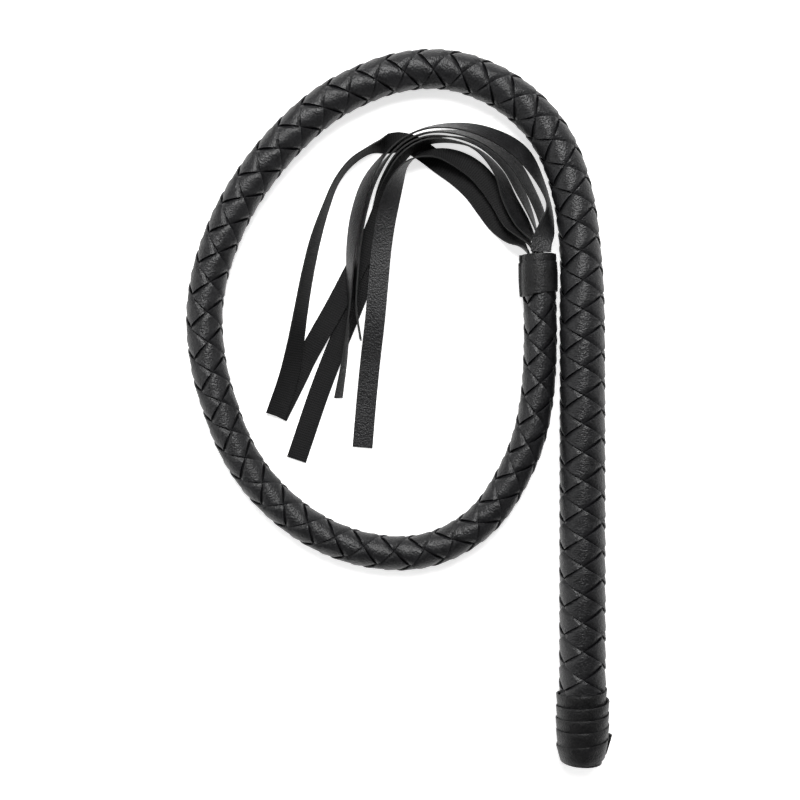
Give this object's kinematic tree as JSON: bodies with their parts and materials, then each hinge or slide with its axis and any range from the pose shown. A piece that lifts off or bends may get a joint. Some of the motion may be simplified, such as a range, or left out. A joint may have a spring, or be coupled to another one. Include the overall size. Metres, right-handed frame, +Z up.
{
  "type": "riding crop",
  "caption": "Plaited leather riding crop: a stiff round handle with a wound butt runs into a flexible plaited thong, looped round, with a collar and a tassel of flat falls.",
  "frame": {"origin": "centre of the butt disc's flat outer face, on the handle's axis", "axes": "+Y up the handle from the butt to the thong, +X to the right seen from above, +Z up from the surface that the crop lies on"},
  "size_m": [0.2064, 0.3482, 0.026],
  "materials": {
    "plait_leather": "satin",
    "fall_leather": "matte",
    "rod": "matte",
    "filler": "matte",
    "thread": "matte"
  },
  "bodies": {
    "handle": {"handle_rod": "rod", "handle_core": "filler", "butt_disc": "plait_leather", "butt_wrap": "plait_leather", "handle_strand_1": "plait_leather", "handle_strand_2": "plait_leather", "handle_strand_3": "plait_leather", "handle_strand_4": "plait_leather", "handle_strand_5": "plait_leather", "handle_strand_6": "plait_leather"},
    "thong_1": {"thong_plait_1": "plait_leather", "thong_core_1": "filler"},
    "thong_2": {"thong_plait_2": "plait_leather", "thong_core_2": "filler"},
    "thong_3": {"thong_plait_3": "plait_leather", "thong_core_3": "filler"},
    "thong_4": {"thong_plait_4": "plait_leather", "thong_core_4": "filler"},
    "thong_5": {"thong_plait_5": "plait_leather", "thong_core_5": "filler", "tail_collar": "plait_leather", "tail_binding": "thread", "strip_bundle": "plait_leather"},
    "tassel": {"fall_1": "fall_leather", "fall_2": "fall_leather", "fall_3": "fall_leather", "fall_4": "fall_leather", "fall_5": "fall_leather", "fall_6": "fall_leather"}
  },
  "joints": [
    {"name": "thong_bend_1", "type": "hinge", "parent": "handle", "child": "thong_1", "pos_m": [-0.00252, 0.26591, -0.00107], "axis": [0, 0, 1], "range_deg": [-60, 0]},
    {"name": "thong_bend_2", "type": "hinge", "parent": "thong_1", "child": "thong_2", "pos_m": [-0.08609, 0.33837, -0.0039], "axis": [0, 0, 1], "range_deg": [-60, 0]},
    {"name": "thong_bend_3", "type": "hinge", "parent": "thong_2", "child": "thong_3", "pos_m": [-0.1759, 0.25855, -0.00433], "axis": [0, 0, 1], "range_deg": [-48, 0]},
    {"name": "thong_bend_4", "type": "hinge", "parent": "thong_3", "child": "thong_4", "pos_m": [-0.16135, 0.13966, -0.00471], "axis": [0, 0, 1], "range_deg": [-30, 0]},
    {"name": "thong_bend_5", "type": "hinge", "parent": "thong_4", "child": "thong_5", "pos_m": [-0.05208, 0.11456, -0.00502], "axis": [0, 0, 1], "range_deg": [-18, 0]},
    {"name": "tassel_swing", "type": "hinge", "parent": "thong_5", "child": "tassel", "pos_m": [-0.0211, 0.2484, -0.0035], "axis": [0, 0, 1], "range_deg": [0, 15]}
  ],
  "couplings": [
    {"joint": "thong_bend_2", "follows": "thong_bend_1", "ratio": 1},
    {"joint": "thong_bend_3", "follows": "thong_bend_1", "ratio": 0.8},
    {"joint": "thong_bend_4", "follows": "thong_bend_1", "ratio": 0.5},
    {"joint": "thong_bend_5", "follows": "thong_bend_1", "ratio": 0.3}
  ]
}
